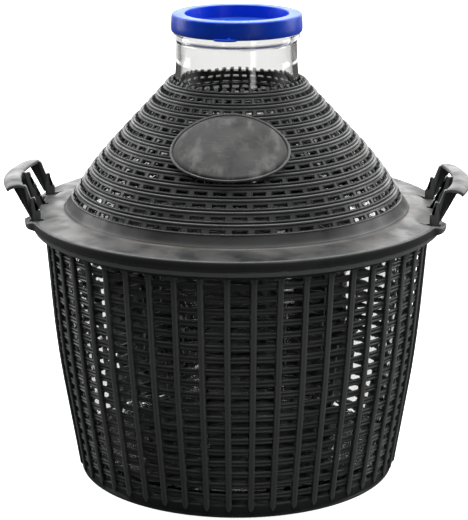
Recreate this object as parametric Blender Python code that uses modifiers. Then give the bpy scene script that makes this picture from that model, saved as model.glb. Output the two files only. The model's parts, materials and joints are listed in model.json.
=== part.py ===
"""Glass carboy: a wide-mouth glass jar in a lattice basket with a conical cover, two handles and a lid.

Metres, +Z up. The origin is the centre of the basket's base, on the ground. The front, with the
oval badge, faces -Y, and the two handles are on the X axis. Sizes below are in millimetres.
"""
import math

import bmesh
import bpy
from mathutils import Vector

MM = 0.001
GAP = 0.3                       # clearance between touching pieces

# ---- driving dimensions ----
SCREW_STEPS_JAR = 44
SCREW_STEPS_LID = 40

# basket: a tapered lattice wall with a flared lip
BASKET_COLUMNS = 24
BASKET_WINDOW_ROWS = 6
BASKET_WALL = 4.0
BASKET_FLOOR_R = 172.0
BASKET_FOOT_R = 174.0
BASKET_FOOT_Z = 3.0
BASKET_BEND_R = 196.5
BASKET_BEND_Z = 145.0
BASKET_TOP_R = 205.4
BASKET_TOP_Z = 258.0
BASKET_LIP_R = 219.0
BASKET_LIP_Z = 272.0
BASKET_RIM_Z = 276.6
BASKET_WINDOW_LOW = 14.0
BASKET_BAND = 14.0
BASKET_RIB_SHARE = 0.42

# cover: a conical lattice, a plain skirt, a flange and a turned-down edge
COVER_COLUMNS = 24
COVER_WINDOW_ROWS = 4
COVER_WALL = 2.6
COLLAR_R = 69.4
COLLAR_Z = 429.0
CONE_TOP_R = 87.8
CONE_TOP_Z = 408.0
CONE_MID_R = 148.0
CONE_MID_Z = 343.0
CONE_LOW_R = 171.5
CONE_LOW_Z = 309.0
CONE_FOOT_R = 184.2
CONE_FOOT_Z = 290.0
FLANGE_R = 222.1
FLANGE_Z = 287.8
FLANGE_SKIRT_R = 220.6
COVER_BAND = 9.0
EAR_STEP = 5.9                  # how far the flange reaches out at a handle's end legs
EAR_ANGLE = math.radians(15.0)
EAR_HALF_ANGLE = math.radians(2.5)
RECESS_X = 211.0                # the flange's straight edge between the end legs

# badge: an oval plate, flush with the cone at its top and proud of it at its foot
BADGE_Z = 376.0
BADGE_HALF_WIDTH = 60.0
BADGE_HALF_HEIGHT = 30.3
BADGE_PROUD_TOP = 1.8
BADGE_PROUD_FOOT = 8.0
BADGE_THICKNESS = 3.0

# jar
JAR_WALL = 4.8
JAR_BODY_R = 190.0
JAR_BODY_Z = 212.0
JAR_HEEL_R = 170.5
JAR_HEEL_Z = 45.0
JAR_FOOT_R = 128.0
JAR_FOOT_Z = BASKET_WALL + GAP
JAR_PUNT = 9.0
JAR_SHOULDER_WIDE = 96.5
JAR_SHOULDER_HIGH = 148.0
JAR_SHOULDER_END = math.radians(56.0)
JAR_NECK_R = 63.3
JAR_WAIST_Z = 450.0
JAR_NECK_FLARE_R = 66.0
JAR_NECK_Z = 414.0
JAR_BEAD_R = 66.3
JAR_BEAD_LOW = 470.0
JAR_BEAD_HIGH = 478.0
JAR_LIP_R = 65.2
JAR_MOUTH_Z = 493.0

# lid: a press-on cap whose plug goes inside the mouth
LID_R = 69.1
LID_TOP_R = 68.6
LID_TOP_Z = 496.0
LID_SKIRT_Z = 477.3
LID_SKIRT_INNER_R = JAR_BEAD_R + 0.5
LID_RECESS_R = 54.5
LID_RECESS_Z = 481.0
LID_FLOOR = 2.2
LID_PLUG_R = 57.2
LID_PLATE = 2.4

# handles: an arched grip on three toothed legs that stand in slots of the flange
HANDLE_PIVOT_X = 208.0
HANDLE_PIVOT_Z = 286.5
HANDLE_LEAN = math.radians(20.0)
LEG_SPACING = 56.0
LEG_THICKNESS = 4.0
LEG_OUTER = 5.0                 # outer edge of an end leg, out from the pivot
LEG_WIDTH = 7.5
LEG_FOOT = -6.0
LEG_TOP = 37.5
MIDDLE_LEG_TOP = 41.5
MIDDLE_LEG_SHIFT = 3.7
MIDDLE_LEG_LEAN = 0.1           # how far the middle leg leans out, per unit of height
TOOTH = 4.0
TOOTH_PITCH = 14.0
END_FIRST_TOOTH = 7.0
MIDDLE_FIRST_TOOTH = -3.0
GRIP_HALF_LENGTH = 60.0
GRIP_WIDTH = 19.0
GRIP_CROWN = 2.5
GRIP_RISE = 1.2                 # how far the grip's outer edge is lifted
GRIP_WALL = 3.6
GRIP_OUT_ENDS = 8.0
GRIP_OUT_MIDDLE = 17.5
GRIP_UP_ENDS = 42.0
GRIP_UP_MIDDLE = 46.0
SLOT_SIDE_ROOM = 0.7
SLOT_INNER = 8.4                # slot of an end leg, in from the pivot
SLOT_OUTER = 7.4                # and out from it


def clear_scene():
    for thing in list(bpy.data.objects):
        bpy.data.objects.remove(thing, do_unlink=True)


def new_collection(name):
    made = bpy.data.collections.new(name)
    bpy.context.scene.collection.children.link(made)
    return made


def plastic(name, colour, roughness):
    made = bpy.data.materials.new(name)
    made.use_nodes = True
    shader = made.node_tree.nodes["Principled BSDF"]
    shader.inputs["Base Color"].default_value = (*colour, 1.0)
    shader.inputs["Roughness"].default_value = roughness
    shader.inputs["Metallic"].default_value = 0.0
    return made


def clear_glass(name):
    made = plastic(name, (0.93, 0.96, 0.95), 0.03)
    shader = made.node_tree.nodes["Principled BSDF"]
    shader.inputs["Transmission Weight"].default_value = 1.0
    shader.inputs["IOR"].default_value = 1.5
    return made


def turned(name, profile, steps, collection):
    """A surface of revolution from (radius, height) points, run down the outer side."""
    mesh = bpy.data.meshes.new(name)
    points = [(radius * MM, 0.0, height * MM) for radius, height in profile]
    edges = [(i, i + 1) for i in range(len(points) - 1)]
    mesh.from_pydata(points, edges, [])
    made = bpy.data.objects.new(name, mesh)
    collection.objects.link(made)
    screw = made.modifiers.new("Turn", "SCREW")
    screw.axis = "Z"
    screw.steps = steps
    screw.render_steps = steps
    screw.use_merge_vertices = True
    screw.merge_threshold = 0.00001
    return made


def apply_modifiers(made):
    """Replace the object's mesh by the one its modifiers make."""
    graph = bpy.context.evaluated_depsgraph_get()
    mesh = bpy.data.meshes.new_from_object(made.evaluated_get(graph))
    made.modifiers.clear()
    made.data = mesh
    return made


def edit(made, action):
    """Run action on the object's mesh as a bmesh."""
    work = bmesh.new()
    work.from_mesh(made.data)
    action(work)
    work.to_mesh(made.data)
    work.free()


def solidify(made, thickness):
    shell = made.modifiers.new("Wall", "SOLIDIFY")
    shell.thickness = thickness * MM
    shell.offset = -1.0
    shell.use_even_offset = True


def boolean(made, tool, operation):
    cut = made.modifiers.new(operation.title(), "BOOLEAN")
    cut.operation = operation
    cut.solver = "EXACT"
    cut.object = tool


def hide_tool(tool):
    tool.hide_render = True
    tool.display_type = "WIRE"


def finish(made, material, sharp_angle=35.0):
    made.data.materials.clear()
    made.data.materials.append(material)
    made.data.shade_smooth()
    made.data.set_sharp_from_angle(angle=math.radians(sharp_angle))


def narrow_ribs(work, columns, rib_share):
    """Turn evenly spaced columns into ribs and wider gaps, by moving every other meridian."""
    step = math.pi / columns
    shift = step * (0.5 - rib_share)
    for vertex in work.verts:
        radius = math.hypot(vertex.co.x, vertex.co.y)
        if radius < 1 * MM:
            continue
        angle = math.atan2(vertex.co.y, vertex.co.x)
        index = round(angle / step)
        angle += shift if index % 2 else -shift
        angle += step * 0.5
        vertex.co.x = radius * math.cos(angle)
        vertex.co.y = radius * math.sin(angle)


def open_windows(work, columns, is_window_height, phase=0.0):
    """Delete the faces between ribs at the heights that the test accepts.

    The phase, in columns, puts a rib's middle at a whole turn and a gap's middle at a half.
    """
    pitch = 2 * math.pi / columns
    gone = []
    for face in work.faces:
        centre = face.calc_center_median()
        turn = (math.atan2(centre.y, centre.x) / pitch + phase) % 1.0
        between_ribs = 0.25 < turn < 0.75
        if between_ribs and is_window_height(centre.z / MM):
            gone.append(face)
    bmesh.ops.delete(work, geom=gone, context="FACES")


def spread(low, high, rows, band):
    """Heights of the window edges, from the lowest up, with a band between windows."""
    window = (high - low - band * (rows - 1)) / rows
    edges = []
    for row in range(rows):
        foot = low + row * (window + band)
        edges += [foot, foot + window]
    return edges


def in_windows(edges):
    def test(height):
        return any(edges[i] < height < edges[i + 1] for i in range(0, len(edges), 2))
    return test


def interpolate(points, height):
    """Radius at a height on a polyline of (radius, height) points that runs downward."""
    for (r_top, z_top), (r_low, z_low) in zip(points, points[1:]):
        if z_low <= height <= z_top:
            share = (height - z_low) / (z_top - z_low)
            return r_low + share * (r_top - r_low)
    raise ValueError("height is off the profile")


def refine(points, heights):
    """Add the given heights to a polyline that runs downward."""
    merged = list(points)
    for height in heights:
        if all(abs(height - z) > 0.01 for _, z in points):
            merged.append((interpolate(points, height), height))
    return sorted(merged, key=lambda point: -point[1])


def build_basket(collection, material):
    wall = [
        (BASKET_TOP_R, BASKET_TOP_Z),
        (BASKET_BEND_R, BASKET_BEND_Z),
        (BASKET_FOOT_R, BASKET_FOOT_Z),
    ]
    edges = spread(BASKET_WINDOW_LOW, BASKET_TOP_Z - 2.0, BASKET_WINDOW_ROWS, BASKET_BAND)
    profile = [(BASKET_LIP_R, BASKET_RIM_Z), (BASKET_LIP_R, BASKET_LIP_Z)]
    profile += refine(wall, edges)
    profile += [(BASKET_FLOOR_R, 0.0), (0.0, 0.0)]
    made = turned("basket", profile, 2 * BASKET_COLUMNS, collection)
    apply_modifiers(made)
    edit(made, lambda work: narrow_ribs(work, BASKET_COLUMNS, BASKET_RIB_SHARE))
    edit(made, lambda work: open_windows(work, BASKET_COLUMNS, in_windows(edges)))
    solidify(made, BASKET_WALL)
    apply_modifiers(made)
    finish(made, material)
    return made


def cone_profile():
    return [
        (COLLAR_R, COLLAR_Z),
        (CONE_TOP_R, CONE_TOP_Z),
        (CONE_MID_R, CONE_MID_Z),
        (CONE_LOW_R, CONE_LOW_Z),
        (CONE_FOOT_R, CONE_FOOT_Z),
    ]


def shape_edge(work):
    """Push the flange's edge out at the end legs of each handle, and pull it in between them."""
    for vertex in work.verts:
        radius = math.hypot(vertex.co.x, vertex.co.y)
        off_axis = math.atan2(abs(vertex.co.y), abs(vertex.co.x))
        if radius < (FLANGE_SKIRT_R - 1) * MM or off_axis > EAR_ANGLE + EAR_HALF_ANGLE:
            continue
        if off_axis > EAR_ANGLE - EAR_HALF_ANGLE:
            scale = 1 + EAR_STEP * MM / radius
        else:
            scale = (RECESS_X * MM - FLANGE_R * MM + radius) / abs(vertex.co.x)
        vertex.co.x *= scale
        vertex.co.y *= scale


def build_badge_tool(collection):
    """The oval plate: a fan of rings laid on a surface that leaves the cone towards its foot."""
    mesh = bpy.data.meshes.new("badge_plate")
    work = bmesh.new()
    bmesh.ops.create_circle(work, cap_ends=True, cap_tris=True, segments=28, radius=1.0)
    bmesh.ops.subdivide_edges(work, edges=[e for e in work.edges if not e.is_boundary], cuts=1)
    cone = cone_profile()
    for vertex in work.verts:
        across = vertex.co.x * BADGE_HALF_WIDTH
        height = BADGE_Z + vertex.co.y * BADGE_HALF_HEIGHT
        share = 0.5 - 0.5 * vertex.co.y
        proud = BADGE_PROUD_TOP + share * (BADGE_PROUD_FOOT - BADGE_PROUD_TOP)
        radius = interpolate(cone, height) + proud
        angle = across / interpolate(cone, BADGE_Z)
        vertex.co = Vector((radius * math.sin(angle), -radius * math.cos(angle), height)) * MM
    bmesh.ops.recalc_face_normals(work, faces=work.faces)
    outward = sum((face.normal.y for face in work.faces), 0.0)
    if outward > 0:
        bmesh.ops.reverse_faces(work, faces=work.faces)
    work.to_mesh(mesh)
    work.free()
    made = bpy.data.objects.new("badge_plate", mesh)
    collection.objects.link(made)
    solidify(made, BADGE_THICKNESS)
    apply_modifiers(made)
    hide_tool(made)
    return made


def box_tool(name, low, high, collection):
    work = bmesh.new()
    bmesh.ops.create_cube(work, size=1.0)
    for vertex in work.verts:
        for axis in range(3):
            middle = (low[axis] + high[axis]) / 2
            vertex.co[axis] = (middle + vertex.co[axis] * (high[axis] - low[axis])) * MM
    mesh = bpy.data.meshes.new(name)
    work.to_mesh(mesh)
    work.free()
    made = bpy.data.objects.new(name, mesh)
    collection.objects.link(made)
    hide_tool(made)
    return made


def build_cover(collection, tools, material):
    edges = spread(CONE_LOW_Z, COLLAR_Z - 6.0, COVER_WINDOW_ROWS, COVER_BAND)
    profile = refine(cone_profile(), edges)
    profile += [
        (FLANGE_R, FLANGE_Z),
        (FLANGE_SKIRT_R, BASKET_RIM_Z + GAP),
    ]
    made = turned("cover", profile, 2 * COVER_COLUMNS, collection)
    apply_modifiers(made)
    edit(made, shape_edge)
    edit(made, lambda work: open_windows(work, COVER_COLUMNS, in_windows(edges), 0.25))
    solidify(made, COVER_WALL)
    apply_modifiers(made)
    boolean(made, build_badge_tool(tools), "UNION")
    apply_modifiers(made)
    half_slot = LEG_THICKNESS / 2 + SLOT_SIDE_ROOM
    for side in (-1, 1):
        for leg in (-1, 0, 1):
            shift = 0.0 if leg else MIDDLE_LEG_SHIFT
            inner = side * (HANDLE_PIVOT_X - SLOT_INNER + shift)
            outer = side * (HANDLE_PIVOT_X + SLOT_OUTER + shift)
            y = leg * LEG_SPACING
            foot = FLANGE_Z - 3 * COVER_WALL if leg else BASKET_RIM_Z
            low = (min(inner, outer), y - half_slot, foot)
            high = (max(inner, outer), y + half_slot, FLANGE_Z + 3 * COVER_WALL)
            boolean(made, box_tool("slot", low, high, tools), "DIFFERENCE")
            apply_modifiers(made)
    finish(made, material)
    return made


def jar_outer():
    """The jar's outer side from the mouth down to the middle of its base."""
    points = [
        (JAR_LIP_R, JAR_MOUTH_Z - 2.0),
        (JAR_LIP_R, JAR_BEAD_HIGH + 2.0),
        (JAR_BEAD_R, JAR_BEAD_HIGH - 1.0),
        (JAR_BEAD_R, JAR_BEAD_LOW + 1.0),
        (JAR_NECK_R, JAR_BEAD_LOW - 2.5),
        (JAR_NECK_R, JAR_WAIST_Z),
        (JAR_NECK_FLARE_R, JAR_NECK_Z),
    ]
    centre_r = JAR_BODY_R - JAR_SHOULDER_WIDE
    steps = 6
    shoulder = []
    for i in range(steps + 1):
        angle = JAR_SHOULDER_END * (1 - i / steps)
        radius = centre_r + JAR_SHOULDER_WIDE * math.cos(angle)
        height = JAR_BODY_Z + JAR_SHOULDER_HIGH * math.sin(angle)
        shoulder.append((radius, height))
    slope = JAR_SHOULDER_HIGH / JAR_SHOULDER_WIDE / math.tan(JAR_SHOULDER_END)
    drop = 10.0
    knee_r = shoulder[0][0] - (JAR_NECK_Z - drop - shoulder[0][1]) / slope
    points += [(JAR_NECK_FLARE_R + 0.18 * (knee_r - JAR_NECK_FLARE_R), JAR_NECK_Z - drop * 0.55)]
    points += [(knee_r + 0.8, JAR_NECK_Z - drop)]
    points += shoulder
    points += [(JAR_HEEL_R, JAR_HEEL_Z)]
    heel = JAR_HEEL_Z - JAR_FOOT_Z
    points += [(JAR_HEEL_R - 0.1 * heel, JAR_FOOT_Z + 0.52 * heel)]
    points += [(JAR_HEEL_R - 0.36 * heel, JAR_FOOT_Z + 0.18 * heel)]
    points += [(JAR_FOOT_R, JAR_FOOT_Z), (JAR_FOOT_R - 12.0, JAR_FOOT_Z)]
    points += [(0.0, JAR_FOOT_Z + JAR_PUNT)]
    return points


def inset(points, wall):
    """The same line moved inward by the wall, along the normals of its points."""
    moved = []
    for i, (radius, height) in enumerate(points):
        before = points[max(i - 1, 0)]
        after = points[min(i + 1, len(points) - 1)]
        along_r = after[0] - before[0]
        along_z = after[1] - before[1]
        length = math.hypot(along_r, along_z)
        moved.append((radius + wall * along_z / length, height - wall * along_r / length))
    return moved


def build_jar(collection, material):
    outer = jar_outer()
    body = [point for point in outer if point[1] <= JAR_NECK_Z]
    inner = inset(body[1:], JAR_WALL)
    inner[-1] = (0.0, JAR_FOOT_Z + JAR_PUNT + JAR_WALL)
    bore = JAR_NECK_R - JAR_WALL
    mouth = [
        (bore, JAR_NECK_Z),
        (bore, JAR_MOUTH_Z - 2.0),
        (bore + 1.5, JAR_MOUTH_Z),
        (JAR_LIP_R - 2.0, JAR_MOUTH_Z),
    ]
    profile = list(reversed(inner)) + mouth + outer
    made = turned("glass_jar", profile, SCREW_STEPS_JAR, collection)
    apply_modifiers(made)
    finish(made, material, sharp_angle=50.0)
    return made


def build_lid(collection, material):
    under = LID_TOP_Z - LID_PLATE
    profile = [
        (0.0, LID_RECESS_Z),
        (LID_RECESS_R - 2.0, LID_RECESS_Z),
        (LID_RECESS_R, LID_RECESS_Z + 2.0),
        (LID_RECESS_R, LID_TOP_Z - 1.0),
        (LID_RECESS_R + 1.0, LID_TOP_Z),
        (LID_TOP_R - 1.2, LID_TOP_Z),
        (LID_TOP_R, LID_TOP_Z - 1.2),
        (LID_R, LID_SKIRT_Z),
        (LID_SKIRT_INNER_R, LID_SKIRT_Z),
        (LID_SKIRT_INNER_R - 0.4, under),
        (LID_PLUG_R, under),
        (LID_PLUG_R, LID_RECESS_Z),
        (LID_PLUG_R - 2.0, LID_RECESS_Z - LID_FLOOR),
        (0.0, LID_RECESS_Z - LID_FLOOR),
    ]
    made = turned("lid", profile, SCREW_STEPS_LID, collection)
    apply_modifiers(made)
    finish(made, material)
    return made


def leg_outline(outer, top, outer_top, first_tooth, teeth, lean):
    """Outline of a leg in the handle's own plane: out from the pivot, and up the leg."""
    root = outer - LEG_WIDTH
    outline = [(root, top)]
    for tooth in reversed(range(teeth)):
        shelf = first_tooth + tooth * TOOTH_PITCH
        outline += [(root, shelf), (root - TOOTH, shelf)]
    sunk = (first_tooth - LEG_FOOT) / TOOTH_PITCH
    outline += [(root - TOOTH * (1 - sunk), LEG_FOOT), (outer - 1.0, LEG_FOOT)]
    outline += [(outer, LEG_FOOT + 3.0), (outer, 8.0), (outer_top, top)]
    return [(across + lean * up, up) for across, up in outline]


def flat_plate(name, outline, thickness, y, collection):
    """A plate in the XZ plane at the given Y, from a filled 2D curve."""
    curve = bpy.data.curves.new(name, "CURVE")
    curve.dimensions = "2D"
    curve.fill_mode = "BOTH"
    curve.extrude = thickness / 2 * MM
    spline = curve.splines.new("POLY")
    spline.points.add(len(outline) - 1)
    for point, (across, up) in zip(spline.points, outline):
        point.co = (across * MM, up * MM, 0.0, 1.0)
    spline.use_cyclic_u = True
    flat = bpy.data.objects.new(name, curve)
    collection.objects.link(flat)
    graph = bpy.context.evaluated_depsgraph_get()
    mesh = bpy.data.meshes.new_from_object(flat.evaluated_get(graph))
    bpy.data.objects.remove(flat, do_unlink=True)
    made = bpy.data.objects.new(name, mesh)
    collection.objects.link(made)

    def stand_up(work):
        bmesh.ops.remove_doubles(work, verts=work.verts, dist=0.00001)
        for vertex in work.verts:
            vertex.co = Vector((vertex.co.x, y * MM - vertex.co.z, vertex.co.y))
        bmesh.ops.recalc_face_normals(work, faces=work.faces)

    edit(made, stand_up)
    return made


def grip_point(across, along):
    """A point of the grip's outer skin; both arguments run from -1 to 1."""
    middle = 1 - along * along
    out = GRIP_OUT_ENDS + (GRIP_OUT_MIDDLE - GRIP_OUT_ENDS) * middle + across * GRIP_WIDTH / 2
    up = GRIP_UP_ENDS + (GRIP_UP_MIDDLE - GRIP_UP_ENDS) * middle
    up += GRIP_RISE * across - GRIP_CROWN * across * across
    return Vector((out, along * GRIP_HALF_LENGTH, up)) * MM


def build_grip(name, collection):
    work = bmesh.new()
    bmesh.ops.create_grid(work, x_segments=4, y_segments=10, size=1.0)
    for vertex in work.verts:
        vertex.co = grip_point(vertex.co.x, vertex.co.y)
    bmesh.ops.recalc_face_normals(work, faces=work.faces)
    if sum(face.normal.z for face in work.faces) < 0:
        bmesh.ops.reverse_faces(work, faces=work.faces)
    mesh = bpy.data.meshes.new(name)
    work.to_mesh(mesh)
    work.free()
    made = bpy.data.objects.new(name, mesh)
    collection.objects.link(made)
    solidify(made, GRIP_WALL)
    apply_modifiers(made)
    return made


def build_handle(name, side, collection, tools, material):
    made = build_grip(name, collection)
    for leg in (-1, 0, 1):
        if leg:
            outline = leg_outline(LEG_OUTER, LEG_TOP, LEG_OUTER + 6.0, END_FIRST_TOOTH, 2, 0.0)
        else:
            outline = leg_outline(LEG_OUTER + MIDDLE_LEG_SHIFT, MIDDLE_LEG_TOP, GRIP_OUT_MIDDLE - 4.0,
                                  MIDDLE_FIRST_TOOTH, 4, MIDDLE_LEG_LEAN)
        plate = flat_plate("leg", outline, LEG_THICKNESS, leg * LEG_SPACING, tools)
        hide_tool(plate)
        boolean(made, plate, "UNION")
        apply_modifiers(made)
    finish(made, material)
    made.location = (side * HANDLE_PIVOT_X * MM, 0.0, HANDLE_PIVOT_Z * MM)
    made.rotation_euler = (0.0, HANDLE_LEAN, 0.0 if side > 0 else math.pi)
    return made


def main():
    clear_scene()
    parts = new_collection("glass_carboy")
    tools = new_collection("cutters")
    charcoal = plastic("charcoal_plastic", (0.085, 0.09, 0.092), 0.45)
    build_basket(parts, charcoal)
    build_cover(parts, tools, plastic("cover_plastic", (0.1, 0.104, 0.106), 0.42))
    build_jar(parts, clear_glass("clear_glass"))
    build_lid(parts, plastic("blue_plastic", (0.012, 0.045, 0.42), 0.32))
    grip = plastic("handle_plastic", (0.1, 0.104, 0.106), 0.45)
    build_handle("handle_left", -1, parts, tools, grip)
    build_handle("handle_right", 1, parts, tools, grip)


main()
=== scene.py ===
import json
import math

import bmesh
import bpy
import numpy as np
from mathutils import Matrix, Vector


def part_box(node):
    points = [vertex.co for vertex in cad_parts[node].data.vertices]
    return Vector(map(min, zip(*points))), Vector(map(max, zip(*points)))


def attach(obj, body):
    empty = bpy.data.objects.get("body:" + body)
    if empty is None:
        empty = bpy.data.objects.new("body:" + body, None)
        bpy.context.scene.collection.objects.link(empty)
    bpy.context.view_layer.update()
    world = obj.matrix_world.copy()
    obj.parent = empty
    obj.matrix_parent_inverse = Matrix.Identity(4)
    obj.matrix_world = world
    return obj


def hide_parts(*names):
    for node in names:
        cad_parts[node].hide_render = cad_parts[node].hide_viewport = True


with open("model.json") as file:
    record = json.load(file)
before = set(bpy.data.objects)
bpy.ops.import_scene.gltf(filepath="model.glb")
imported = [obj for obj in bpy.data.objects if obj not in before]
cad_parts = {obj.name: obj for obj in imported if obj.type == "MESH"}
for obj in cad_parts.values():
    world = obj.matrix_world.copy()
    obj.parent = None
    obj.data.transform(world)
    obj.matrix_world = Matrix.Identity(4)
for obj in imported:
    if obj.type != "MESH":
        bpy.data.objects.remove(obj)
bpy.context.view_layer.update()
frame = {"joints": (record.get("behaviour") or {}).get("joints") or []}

# A wide-mouth glass carboy in a basket, with a lattice cover, two strap handles and a lid.
# Lengths are in millimetres, in the frame's axes: +Z up, the badge at -Y, the handles at +X and -X.
# Materials, lights and the camera are in metres. Colours are linear.
MM = 0.001
TAU = 2 * math.pi


def box_mm(node):
    low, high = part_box(node)
    return low / MM, high / MM


BASKET_HIGH = box_mm("basket")[1]
COVER_LOW, COVER_HIGH = box_mm("cover")
JAR_LOW, JAR_HIGH = box_mm("glass_jar")
LID_LOW, LID_HIGH = box_mm("lid")
PIVOTS = {joint["child"]: Vector(joint["pos_m"]) for joint in frame["joints"] if "pos_m" in joint}
PIVOT_X = PIVOTS["handle_right"].x / MM

# ---- basket ----
COLUMNS = 48                    # ribs of the basket, and bars of the cover
RIM_Z = BASKET_HIGH.z
RIM_R = 219.0
BASKET_WALL = 4.6
RIB_PROUD = 2.2
RIB_HALF = 3.25
BASKET_ROWS = 20
BASKET_PITCH = 13.0
BASKET_FIRST_WINDOW = RIM_Z - 11.1
WINDOW_HIGH = 6.7
BAND = BASKET_PITCH - WINDOW_HIGH
RIB_TIP_Z = 6.0
FLOOR_THICKNESS = 3.6
FLOOR_R = 171.0
BASKET_WAVE = 0.7               # size of the moulding's slow waviness

# ---- cover ----
CONE_CORNERS = [
    (69.4, 429.0, 0.0),
    (87.8, 408.0, 12.0),
    (148.0, 343.0, 24.0),
    (171.5, 309.0, 14.0),
    (183.2, 291.4, 0.0),
]
CONE_ROWS = 13
CONE_PITCH = 13.33
CONE_FIRST = 2.0                # from the collar's top edge to the first window's middle
CONE_SINK = 1.0                 # how far the bars lie below the cords' mean surface
CONE_WALL = 1.9
CONE_WAVE = 0.35
BAR_SHARE = 0.123               # half a bar's width, as a share of a column
FRAME_RISE = 0.85               # height of the thin frame round a window
CONE_WINDOW_HALF = 1.9          # half a window's height
FRAME_CREST = 2.25              # from a window's middle up or down to its frame's crest
FLANGE_R = COVER_HIGH.y
FLANGE_Z = 287.8
EDGE_LOW_Z = COVER_LOW.z
SKIRT_FOOT_Z = EDGE_LOW_Z + 3.0
SLOT_MIDDLE_X = 207.5
SLOT_DIP = 4.0                  # how far the flange sinks round a handle's end legs
EAR_R = 228.0                   # the flange's edge at a handle's end legs
RECESS_X = 211.0                # and its straight edge between them
RECESS_END = (10.2, 12.6)       # where the edge leaves it, in degrees from the handle's middle
EAR_END = (17.0, 20.5)          # and where it comes back to the circle
FLANGE_INNER = 200.0            # inside this radius the flange keeps its round shape

# ---- badge ----
BADGE_Z = 376.0
BADGE_HALF_WIDTH = 60.0
BADGE_HALF_HEIGHT = 30.3
BADGE_PROUD_TOP = 1.8
BADGE_PROUD_FOOT = 8.0
BADGE_THICKNESS = 3.4
BADGE_TURN = math.radians(-0.7)

# ---- jar ----
JAR_WALL = 4.8
JAR_BODY_R = JAR_HIGH.x
JAR_BODY_Z = 212.0
JAR_FOOT_Z = JAR_LOW.z
JAR_MOUTH_Z = JAR_HIGH.z
SHOULDER_WIDE = 96.5
SHOULDER_HIGH = 148.0
SHOULDER_END = math.radians(56.0)
NECK_R = 63.3
WAIST_Z = 450.0
NECK_FLARE_R = 66.0
NECK_Z = 414.0                  # the knee between the neck and the shoulder
BEAD_R = 66.3
BEAD_LOW = 470.0
BEAD_HIGH = 478.0
LIP_R = 65.2

# ---- lid ----
LID_R = LID_HIGH.x
LID_TOP_Z = LID_HIGH.z
LID_SKIRT_Z = LID_LOW.z
RECESS_R = 54.5
RECESS_Z = LID_TOP_Z - 15.0
PLUG_R = 57.2
TAB_ANGLE = math.radians(-97.3)
TAB_HALF_WIDTH = 12.5
TAB_REACH = 4.2                 # how far the tab stands out from the skirt

# ---- handles ----
LEAN = math.radians(20.0)
LEG_SPACING = 56.0
LEG_OUTER = 5.0
LEG_WIDTH = 7.5
LEG_FOOT = -6.0
LEG_TOP = 37.5
MIDDLE_LEG_TOP = 41.5
MIDDLE_SHIFT = 3.7
MIDDLE_LEAN = 0.1               # how far the middle leg leans out, per unit of height
TOOTH = 4.0                     # how far a tooth stands out
TOOTH_PITCH = 14.0
END_FIRST_TOOTH = 7.0
MIDDLE_FIRST_TOOTH = -3.0
GRIP_HALF_LENGTH = 60.0
GRIP_WIDTH = 19.0
GRIP_CROWN = 2.5
GRIP_RISE = 1.2                 # how far the grip's outer edge is lifted
GRIP_WALL = 3.6
GRIP_OUT_ENDS = 8.0
GRIP_OUT_MIDDLE = 17.5
GRIP_UP_ENDS = 42.0
GRIP_UP_MIDDLE = 46.0

# ---- colours ----
BASKET_COLOURS = (0.023, 0.025, 0.0258), (0.035, 0.0378, 0.039)
COVER_COLOURS = (0.01, 0.0103, 0.0106), (0.017, 0.0173, 0.0175)
STRAP_COLOURS = (0.012, 0.0123, 0.0126), (0.02, 0.0205, 0.021)
BASKET_DUST = (0.14, 0.135, 0.125)
COVER_DUST = (0.2, 0.195, 0.185)
# the strap's pale upward faces: dust and a painted highlight of the overhead light
STRAP_DUST_AND_SHEEN = (0.42, 0.42, 0.42)
# painted highlight on thin crests and edges, where light catches them
EDGE_HIGHLIGHT = (0.17, 0.175, 0.175)
SCRATCH = (0.32, 0.32, 0.31)
BADGE_STREAK = (0.16, 0.158, 0.15)
GRIME = (0.16, 0.115, 0.08)
GRIME_R = 186.0                 # the middle of the ring where grime lies on the flange
GRIME_REACH = 4.5
GLASS = (0.985, 0.985, 0.975)
# painted shade along the glass's edges where it is seen at a slant
GLASS_RIM = (0.2, 0.21, 0.205)
BLUE_DARK = (0.0041, 0.049, 0.52)
BLUE_PALE = (0.007, 0.065, 0.64)
BLUE_WEAR = (0.2, 0.3, 0.7)
# painted highlight on the lid's upward faces
BLUE_TOP_HIGHLIGHT = (0.023, 0.15, 0.92)

# ---- stage ----
FLOOR_HALF = 4000
CARD_X = (-172, 128)            # the black card's left and right sides
CARD_Y = (181, 275)             # and its near and far ones
CARD_TOP = 250
FRONT_LIGHT = 0.035             # brightness of the surroundings that the badge faces
BACK_LIGHT = 2.6                # and of those behind the object
TOP_LIGHT = 1.8                 # and of those above it
SIDE_SHARE = 0.32               # how much of the brightness is left at the sides
BEHIND_GLASS = 1.0              # brightness of the surroundings as seen level through the glass
ABOVE_GLASS = 0.12              # and as seen upwards through it
STRIP_AWAY = 1.6                # the strip light's distance from the object's axis
STRIP_ANGLE = math.radians(-57.0)

# ---- camera ----
CAMERA_AWAY = 2.0747
CAMERA_HEIGHT = 0.8147
CAMERA_TURN = math.radians(2.7)
CAMERA_PITCH = math.radians(15.8)
CAMERA_LENS = 138.2
CAMERA_SHIFT = -0.0053


# ======== mesh tools ========

def make_object(name, vertices, faces):
    """An object from vertices in millimetres."""
    mesh = bpy.data.meshes.new(name)
    mesh.from_pydata((np.asarray(vertices) * MM).tolist(), [], faces)
    mesh.validate()
    made = bpy.data.objects.new(name, mesh)
    bpy.context.scene.collection.objects.link(made)
    return made


def smooth(made, angle=38.0):
    """Smooth shading, but sharp at edges over an angle in degrees."""
    made.data.shade_smooth()
    made.data.set_sharp_from_angle(angle=math.radians(angle))


def apply_modifiers(made):
    graph = bpy.context.evaluated_depsgraph_get()
    mesh = bpy.data.meshes.new_from_object(made.evaluated_get(graph))
    made.modifiers.clear()
    made.data = mesh


def edit(made, action):
    work = bmesh.new()
    work.from_mesh(made.data)
    action(work)
    work.to_mesh(made.data)
    work.free()


def boolean(made, tool, operation):
    cut = made.modifiers.new(operation, "BOOLEAN")
    cut.operation = operation
    cut.solver = "MANIFOLD"
    cut.object = tool
    apply_modifiers(made)
    bpy.data.objects.remove(tool, do_unlink=True)


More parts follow.
